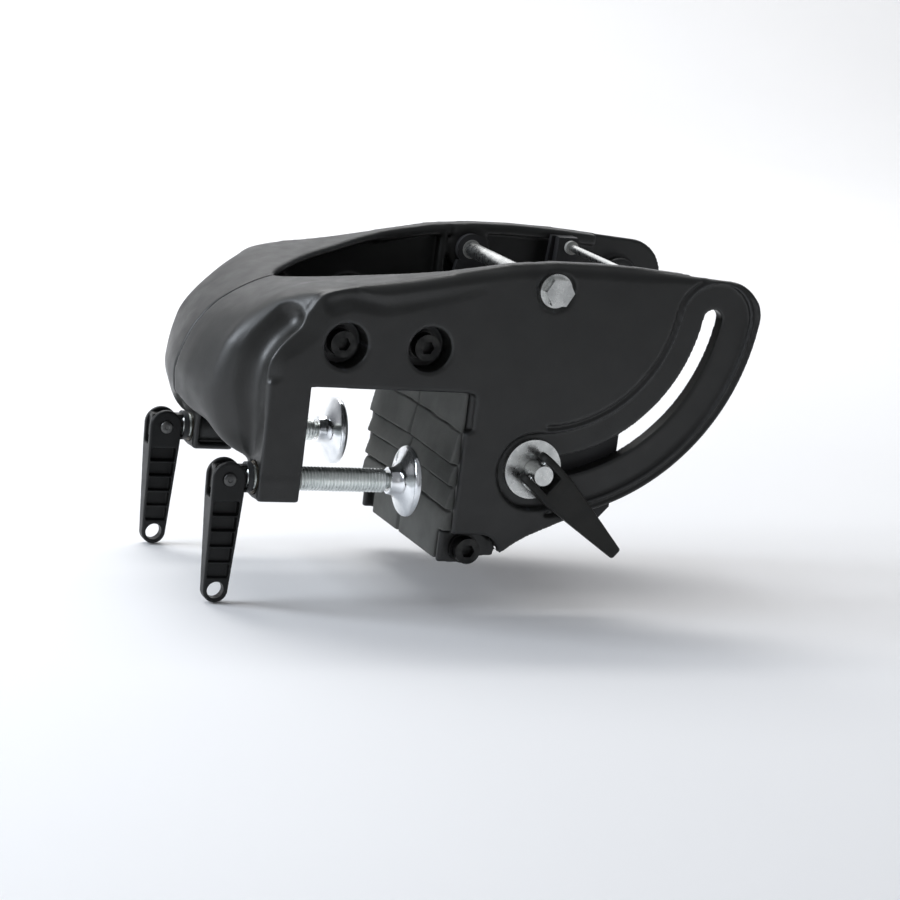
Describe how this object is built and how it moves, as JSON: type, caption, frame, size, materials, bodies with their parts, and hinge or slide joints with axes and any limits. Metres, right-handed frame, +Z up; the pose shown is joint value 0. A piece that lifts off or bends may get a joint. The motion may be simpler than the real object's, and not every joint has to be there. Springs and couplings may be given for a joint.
{
  "type": "outboard motor transom clamp bracket",
  "caption": "Bracket that clamps over a boat transom with swivel-disc thumb screws and carries a tilting motor yoke locked by a cam lever.",
  "frame": {"origin": "on the middle plane, where the plane of the pad's clamping face meets the underside of the bridge that rests on the transom's top edge", "axes": "+X aft, away from the boat; +Y starboard; +Z up"},
  "size_m": [0.2861, 0.1456, 0.1762],
  "materials": {
    "body_plastic": "fine moulded grain, dark charcoal, satin",
    "pad_rubber": "matt dark grey rubber",
    "lever_plastic": "glass-filled plastic, dark, lightly worn edges",
    "yoke_paint": "black powder coat",
    "zinc_steel": "bright zinc plate",
    "disc_chrome": "nickel-chrome plate",
    "bush_brass": "turned brass",
    "bush_plastic": "off-white bearing plastic"
  },
  "bodies": {
    "bracket": {"port_half_shell": "body_plastic", "starboard_half_shell": "body_plastic", "port_pad": "pad_rubber", "starboard_pad": "pad_rubber", "tie_bolts": "zinc_steel", "tie_bolt_washers": "zinc_steel", "tie_bolt_nuts": "zinc_steel", "port_thread_bush": "bush_brass", "starboard_thread_bush": "bush_brass", "pivot_bolt": "zinc_steel", "pivot_washers": "zinc_steel", "pivot_nut": "zinc_steel"},
    "yoke": {"tilt_yoke": "yoke_paint", "pivot_bushes": "bush_plastic", "yoke_cross_rod": "zinc_steel", "cross_rod_collars": "zinc_steel", "lock_spacer_tube": "zinc_steel", "port_lock_washer": "zinc_steel", "starboard_lock_washer": "zinc_steel"},
    "lock": {"lock_bolt": "zinc_steel", "cam_pin": "zinc_steel"},
    "lever": {"cam_lever": "lever_plastic"},
    "port_disc": {"port_swivel_disc": "disc_chrome", "port_disc_snap_ring": "zinc_steel"},
    "port_screw": {"port_spindle": "zinc_steel", "port_screw_collar": "lever_plastic", "port_handle_pin": "zinc_steel"},
    "port_handle": {"port_handle": "lever_plastic"},
    "starboard_disc": {"starboard_swivel_disc": "disc_chrome", "starboard_disc_snap_ring": "zinc_steel"},
    "starboard_screw": {"starboard_spindle": "zinc_steel", "starboard_screw_collar": "lever_plastic", "starboard_handle_pin": "zinc_steel"},
    "starboard_handle": {"starboard_handle": "lever_plastic"}
  },
  "joints": [
    {"name": "yoke_tilt", "type": "hinge", "parent": "bracket", "child": "yoke", "pos_m": [0.043, 0, 0.053], "axis": [0, -1, 0], "range_deg": [0, 83]},
    {"name": "lock_bolt_turn", "type": "hinge", "parent": "yoke", "child": "lock", "pos_m": [0.043, 0, -0.037], "axis": [0, -1, 0], "range_deg": [-90, 90]},
    {"name": "cam_lever_flip", "type": "hinge", "parent": "lock", "child": "lever", "pos_m": [0.043, -0.0695, -0.037], "axis": [0.6494, 0, 0.7604], "range_deg": [-110, 0]},
    {"name": "port_screw_travel", "type": "slide", "parent": "bracket", "child": "port_disc", "axis": [1, 0, 0], "range_m": [-0.045, 0.0015]},
    {"name": "port_screw_turn", "type": "hinge", "parent": "port_disc", "child": "port_screw", "pos_m": [-0.113, -0.052, -0.047], "axis": [1, 0, 0], "range_deg": [-112, 98]},
    {"name": "port_handle_fold", "type": "hinge", "parent": "port_screw", "child": "port_handle", "pos_m": [-0.113, -0.052, -0.047], "axis": [0, 1, 0], "range_deg": [0, 136]},
    {"name": "starboard_screw_travel", "type": "slide", "parent": "bracket", "child": "starboard_disc", "axis": [1, 0, 0], "range_m": [-0.045, 0.0015]},
    {"name": "starboard_screw_turn", "type": "hinge", "parent": "starboard_disc", "child": "starboard_screw", "pos_m": [-0.113, 0.052, -0.047], "axis": [1, 0, 0], "range_deg": [-98, 112]},
    {"name": "starboard_handle_fold", "type": "hinge", "parent": "starboard_screw", "child": "starboard_handle", "pos_m": [-0.113, 0.052, -0.047], "axis": [0, 1, 0], "range_deg": [0, 136]}
  ]
}
